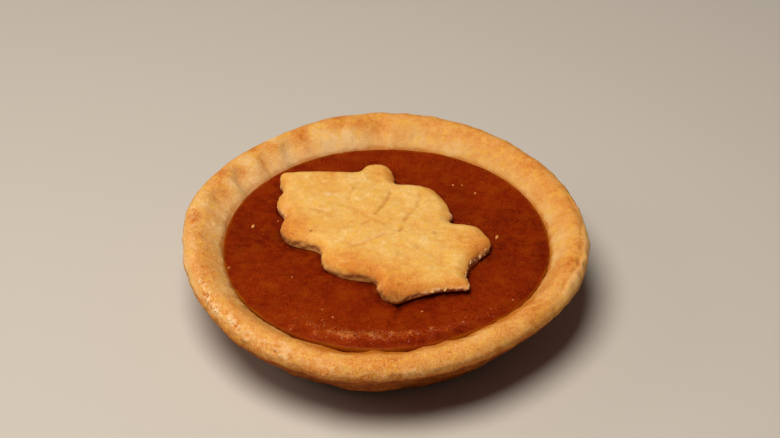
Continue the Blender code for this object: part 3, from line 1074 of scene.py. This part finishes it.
# painted shade: in the veins, in the prick holes and low on the sides
shade = on_top * (0.36 * vein + spots_at(places, PRICKS)) + 0.5 * side * (1 - share_up) * (1 - bare_side)
store_masks(leaf_mesh, toast=toast, pale=pale.clip(0, 1), torn=bare_side, shade=shade.clip(0, 1),
            sandy=0.3 + 0.3 * spots_at(places, HOT_SPOTS),
            flaky=(bare_side * step_up(share_up, 0.35, 0.6)).clip(0, 1))
leaf_mesh.materials.append(BISCUIT)
leaf = link_piece("pastry_leaf", leaf_mesh)
print("leaf toast", round(toast.min(), 2), "to", round(toast.max(), 2))

# %% [markdown]
# ## The custard
#
# The custard is poured, so it lies level. In the oven it puffs at the edge that sets first, here
# along the front, and falls back with a wrinkle. Its edge reaches just into the pastry, so that the
# two meet along the pastry's own lumps and no gap can open between them.

# %% Turn the custard
CUSTARD_COLUMNS = ("radius", "height", "wall", "puff")
CUSTARD_LEVEL = 20.0
INTO_PASTRY = 1.6
wall_radius = custard_high.x + INTO_PASTRY
CUSTARD_STATIONS = (
    (0.0, custard_low.z, 0.0, 0.0),
    (36.0, custard_low.z, 0.0, 0.0),
    (41.8, 8.4, 0.1, 0.0),
    (47.0, 18.4, 0.8, 0.0),
    (wall_radius, CUSTARD_LEVEL + 0.3, 1.0, 0.3),               # the shore
    (0.975 * wall_radius, CUSTARD_LEVEL + 0.25, 1.0, 0.5),
    (0.95 * wall_radius, CUSTARD_LEVEL + 0.1, 1.0, 0.85),
    (0.90 * wall_radius, CUSTARD_LEVEL, 0.9, 1.0),
    (0.84 * wall_radius, CUSTARD_LEVEL, 0.8, 0.7),
    (0.765 * wall_radius, CUSTARD_LEVEL, 0.7, 0.2),
    (0.68 * wall_radius, CUSTARD_LEVEL, 0.5, 0.0),              # where the puff has ended
    (0.0, CUSTARD_LEVEL, 0.0, 0.0),
)
AT_SHORE, AT_CALM = 4, 10
CUSTARD_ROUNDING = 1.2
CUSTARD_STEPS = 640        # round the pie

custard_marks = profile_marks(CUSTARD_STATIONS)
shore_mark = custard_marks[AT_SHORE]
custard_paces = ((shore_mark - 2, 4.0), (custard_marks[AT_CALM] + 6, 0.42), (custard_marks[-1], 0.8))
profile = even_profile(CUSTARD_STATIONS, CUSTARD_COLUMNS, CUSTARD_ROUNDING, custard_paces)
custard_mesh = turned("custard_filling", profile, CUSTARD_STEPS, CUSTARD)

# %% [markdown]
# The froth along the front is rough, with a chain of blisters on it. Round the leaf the skin gives
# a little under its weight. Bumps are added up as for the shell, but they only go up and down,
# because custard lies flat.

# %% Puff and dimple the custard
FROTH = ((-97, 46, 1.0), (-60, 30, 0.35))
FROTH_RADIUS = 42.3
BLISTERS = (    # x, y, size, height
    (-9.9, -42.1, 1.7, 0.60), (-4.6, -41.9, 1.3, 0.55), (-2.4, -42.5, 1.4, 0.55),
    (-12.9, -41.0, 1.2, 0.45), (2.2, -41.0, 1.1, 0.40), (6.8, -40.7, 1.2, 0.45),
    (12.9, -38.6, 1.0, 0.35), (17.1, -39.3, 1.1, 0.40), (-19.2, -41.0, 1.3, 0.45),
    (-15.6, -40.3, 1.2, 0.45), (-26.3, -37.6, 1.0, 0.35), (-21.2, -37.0, 0.9, 0.3),
)
WRINKLE = ((3.4, -26.5), (3.8, -29.5), (3.0, -33.0))

points = points_of(custard_mesh)
azimuth = azimuth_of(points)
along = read_mask(custard_mesh, "along")
points = bend(points, read_mask(custard_mesh, "wall") * swell(azimuth, INNER_BELLY),
              read_mask(custard_mesh, "puff") * swell(azimuth, FRONT_PUFF))
top = step_up(along, shore_mark - 0.5, shore_mark + 0.5)
radius = np.hypot(points[:, 0], points[:, 1])
front = swell(azimuth, FROTH)
froth = front * hump(radius, FROTH_RADIUS, 2.6) * top
beside_leaf = distance_to_points(points[:, :2], leaf_edge)
dip = np.exp(-beside_leaf / 2.2)
blisters = spots_at(points, BLISTERS)
wrinkle = hump(distance_to_line(points[:, :2], WRINKLE), 0, 0.9)
relief = 0.14 * rough(points, 11, 101, 2) + 0.05 * rough(points, 2.6, 111, 3)
relief += froth * (0.30 * rough(points, 3.0, 121, 2) + 0.22 * rough(points, 1.3, 131, 2))
relief += blisters
points[:, 2] += top * (relief - 0.45 * dip - 0.35 * wrinkle)
set_points(custard_mesh, points)
print("froth covers", int((froth > 0.3).sum()), "points")

# %% [markdown]
# Custard that is thin over the pastry dries to an amber rind at the very edge, and just inside it
# a band at the front and the right is painted darker. The skin has a few lighter scabs and darker
# clouds, and the tops of the blisters are painted lighter, as a painted highlight. Along the leaf a
# painted shadow darkens the custard by distance from the leaf's edge, and the wrinkle gets painted
# shade too.

# %% Colour the custard
SKIN_PATCHES = (
    (-33.8, -18.4, 1.7, 0.22), (-35.6, -17.6, 1.1, 0.12), (-30.5, -16.0, 1.2, 0.10),
    (-27.0, -30.0, 7.0, 0.05), (37.0, 2.0, 15.0, -0.08), (-38.0, 4.0, 12.0, -0.10),
    (16.0, -30.0, 7.0, -0.04), (30.0, 27.0, 5.0, 0.05),
)
RINDLESS = ((-80, 18, 1.0), (-122, 30, 0.7))
DARKER_BAND = ((-70, 50, 1.0), (-15, 40, 0.7))

# the blisters' share of this mask is a painted highlight on their tops
light = 0.05 * front * step_up(radius, 25, 40) + spots_at(points, SKIN_PATCHES) + 0.45 * blisters
rind_end = shore_mark + 1.9 + 0.3 * noise(points, 3, 141)
rind = 0.9 * (1 - step_up(along, rind_end - 0.5, rind_end + 0.6))
darker_band = swell(azimuth, DARKER_BAND) * hump(along, rind_end + 2.0, 2.0)
# painted shade: a painted shadow beside the leaf, shade in the wrinkle, and the darker band
shade = top * (0.26 * np.exp(-beside_leaf / 1.6) + 0.15 * wrinkle + 0.17 * darker_band)
store_masks(custard_mesh, froth=(froth + blisters) * (1 - rind), light=light, shade=shade,
            rind=rind * (1 - 0.8 * swell(azimuth, RINDLESS)))
custard = link_piece("custard_filling", custard_mesh)
print("shade up to", round(shade.max(), 2), "light up to", round(light.max(), 2))

# %% [markdown]
# ## Bubbles, flakes and crumbs
#
# Small things that lie on a surface are sown with Geometry Nodes. These are the tree's parts: a
# random number between two wires, and a shaking of the corners by noise, so that no two shapes
# are alike. Vectors go through Vector Math nodes, because a Math node would leave one number.

# %% Parts of the sowing tree
SHAPE_SEGMENTS, SHAPE_RINGS = 8, 5
SHAPE_FACES = SHAPE_SEGMENTS * SHAPE_RINGS
PER_SQUARE_MM = 1e6        # a density per square mm, in the tree's square metres
MASKS = ("Pale", "Toast", "Froth")          # of each shape, read by its material


def other_output(wire, name):
    return Wire(wire.socket.node.outputs[name])


def random_number(tree, low, high, seed):
    return add_node(tree, "FunctionNodeRandomValue", {"data_type": "FLOAT"},
                    {2: low, 3: high, "Seed": seed}, 1)


def vector_maths(tree, operation, inputs):
    return add_node(tree, "ShaderNodeVectorMath", {"operation": operation}, inputs)


def shaken(tree, geometry, given):
    """Move the corners by noise, each way by up to half of Shake in mm."""
    place = add_node(tree, "GeometryNodeInputPosition")
    scaled = vector_maths(tree, "SCALE", {0: place, "Scale": given["Shake size"]})
    inputs = {"Vector": scaled, "Scale": 1.0, "Detail": 1.0}
    random = add_node(tree, "ShaderNodeTexNoise", None, inputs, 1)
    centred = vector_maths(tree, "SUBTRACT", {0: random, 1: (0.5, 0.5, 0.5)})
    push = vector_maths(tree, "SCALE", {0: centred, "Scale": given["Shake"] * MM})
    return add_node(tree, "GeometryNodeSetPosition", None, {"Geometry": geometry, "Offset": push})


# %% [markdown]
# The tree scatters points where a mask on the surface is high, sets a small rounded shape on each,
# turns it with the surface, spins it and shakes it. The same tree makes glossy bubbles in the
# froth, flakes on the torn edge and shreds on the leaf's broken sides. Its other form sets one
# shape on each point of a mesh.

# %% The sowing tree
def sowing_tree(scattered):
    """Scatter the shapes where a mask is high, or else put one on each point, by its own size."""
    numbers = ("Per mm2", "Smallest", "Largest", "Width", "Flatness", "Shake", "Shake size", *MASKS)
    inputs = {"Mask": "String", **dict.fromkeys(numbers, "Float"), "Seed": "Int", "Finish": "Material"}
    tree, given = new_tree("sowing", inputs)
    where = add_node(tree, "GeometryNodeInputNamedAttribute", {"data_type": "FLOAT"},
                     {"Name": given["Mask"]})
    if scattered:
        density = where * given["Per mm2"] * PER_SQUARE_MM
        spots = add_node(tree, "GeometryNodeDistributePointsOnFaces", None,
                         {"Mesh": given["Geometry"], "Density": density, "Seed": given["Seed"]})
        turn = other_output(spots, "Rotation")
        length = random_number(tree, given["Smallest"], given["Largest"], given["Seed"])
    else:
        spots, turn, length = given["Geometry"], (0.0, 0.0, 0.0), where
    shape = add_node(tree, "GeometryNodeMeshUVSphere", None,
                     {"Segments": SHAPE_SEGMENTS, "Rings": SHAPE_RINGS, "Radius": MM})
    size = add_node(tree, "ShaderNodeCombineXYZ", None,
                    {"X": length, "Y": length * given["Width"], "Z": length * given["Flatness"]})
    sown = add_node(tree, "GeometryNodeInstanceOnPoints", None,
                    {"Points": spots, "Instance": shape, "Rotation": turn, "Scale": size})
    angle = random_number(tree, 0.0, 2 * pi, given["Seed"] + 1.0)
    spin = add_node(tree, "ShaderNodeCombineXYZ", None, {"Z": angle})
    spun = add_node(tree, "GeometryNodeRotateInstances", None, {"Instances": sown, "Rotation": spin})
    single = add_node(tree, "GeometryNodeRealizeInstances", None, {"Geometry": spun})
    result = shaken(tree, single, given)
    for name in MASKS:
        result = add_node(tree, "GeometryNodeStoreNamedAttribute",
                          {"data_type": "FLOAT", "domain": "POINT"},
                          {"Geometry": result, "Name": name.lower(), "Value": given[name]})
    finished = add_node(tree, "GeometryNodeSetMaterial", None,
                        {"Geometry": result, "Material": given["Finish"]})
    close_tree(tree, finished)
    return tree


SCATTER, SET_DOWN = sowing_tree(True), sowing_tree(False)
print("sowing trees", len(SCATTER.nodes), "and", len(SET_DOWN.nodes), "nodes")

# %% [markdown]
# A bubble in the froth is a low glossy dome, so it catches the lamp as a small bright dot. Flakes
# and shreds are longer than they are wide, and thin. They could be placed one by one, but there
# are about two hundred, and a fixed seed puts them in the same places on each run.

# %% Sow
def sow(name, surface, tree, **values):
    """Sow small shapes over a copy of a surface, and return them as one piece."""
    item = bpy.data.objects.new(name, surface.copy())
    bpy.context.collection.objects.link(item)
    run_nodes(item, tree, {label.replace("_", " "): value for label, value in values.items()})
    piece = link_piece(name, plain_copy(item, name))
    print(name, len(piece.data.polygons) // SHAPE_FACES, "shapes")
    return piece


bubbles = sow("froth_bubbles", custard_mesh, SCATTER, Mask="froth", Per_mm2=0.7, Smallest=0.2,
              Largest=0.5, Width=1.0, Flatness=0.5, Shake=0.15, Shake_size=1500.0, Pale=0.0,
              Toast=0.0, Froth=1.0, Seed=7, Finish=CUSTARD)
rim_flakes = sow("rim_flakes", shell_mesh, SCATTER, Mask="flaky", Per_mm2=2.0, Smallest=0.3, Largest=0.7,
                 Width=0.6, Flatness=0.3, Shake=0.6, Shake_size=1200.0, Pale=0.35, Toast=0.15, Froth=0.0,
                 Seed=11, Finish=PASTRY)
shreds = sow("leaf_shreds", leaf_mesh, SCATTER, Mask="flaky", Per_mm2=0.5, Smallest=0.3, Largest=0.9,
             Width=0.5, Flatness=0.4, Shake=0.6, Shake_size=1200.0, Pale=0.35, Toast=0.1, Froth=0.0,
             Seed=5, Finish=BISCUIT)

# %% [markdown]
# A few crumbs have dropped on the custard and the rim. They are too few to scatter, so each has its
# own place and size, and the same tree sets them down on the points of a small mesh.

# %% Set down the crumbs
CRUMBS = (      # x, y, size
    (-39.5, 8.7, 0.95), (-32.2, 11.4, 0.35), (20.7, 29.1, 0.45), (23.4, 29.1, 0.35), (27.3, 25.0, 0.5),
    (33.0, 3.4, 0.95), (-27.0, -15.2, 0.3), (10.3, -30.4, 0.4), (36.3, -25.5, 0.35), (-45.5, -10.7, 0.6),
    (-17.0, -59.0, 0.5), (-18.0, -29.6, 0.3), (-14.9, -33.2, 0.4), (-26.5, -39.3, 0.4),
)
CRUMB_REACH = 0.8          # how near a point of the surface has to be to carry the crumb


def points_upon(surfaces, places):
    """Return a mesh of points on the highest of the surfaces, each with its size."""
    above = np.concatenate([points_of(mesh) for mesh in surfaces])
    above = above[above[:, 2] > CUSTARD_LEVEL - 1]
    found = []
    for x, y, size in places:
        near = above[np.hypot(above[:, 0] - x, above[:, 1] - y) < CRUMB_REACH]
        found.append(Vector((x, y, near[:, 2].max() + 0.1 * size)) * MM)
    mesh = bpy.data.meshes.new("places")
    mesh.from_pydata(found, [], [])
    store_masks(mesh, size=[size for x, y, size in places])
    return mesh


crumbs = sow("pastry_crumbs", points_upon([custard_mesh, shell_mesh], CRUMBS), SET_DOWN, Mask="size",
             Width=0.5, Flatness=0.4, Shake=0.5, Shake_size=1100.0, Pale=0.25, Toast=0.65, Froth=0.0,
             Seed=3, Finish=PASTRY)

# %% [markdown]
# ## The floor
#
# A pale, matt sheet of card lies under the pie. It isn't part of the object.

# %% Floor
FLOOR_SIZE = 4000.0
half = FLOOR_SIZE / 2 * MM
corners = [(-half, -half, 0), (half, -half, 0), (half, half, 0), (-half, half, 0)]
floor_mesh = bpy.data.meshes.new("floor")
floor_mesh.from_pydata(corners, [], [(0, 1, 2, 3)])
card, card_shader = start_material("card", 0.9, 0.1)
card_shader.inputs["Base Color"].default_value = (0.56, 0.52, 0.47, 1.0)
floor_mesh.materials.append(card)
floor = bpy.data.objects.new("floor", floor_mesh)
bpy.context.collection.objects.link(floor)
print("floor", FLOOR_SIZE / 1000, "m wide")

# %% [markdown]
# ## Hand the pieces over
#
# The pie has no joints, so all of it rides on the root. The shell, the custard and the leaf each
# take the place of a plain solid of the frame. The small pieces only add to the looks.

# %% Hand the pieces over
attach(shell, "root")
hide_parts("crust")
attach(custard, "root")
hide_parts("filling")
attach(leaf, "root")
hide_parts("leaf")
extras = ((bubbles, "custard"), (rim_flakes, "pastry"), (shreds, "biscuit"), (crumbs, "pastry"))
for piece, slot in extras:
    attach(piece, "root")
print("handed over", [shell.name, custard.name, leaf.name, *[piece.name for piece, slot in extras]])
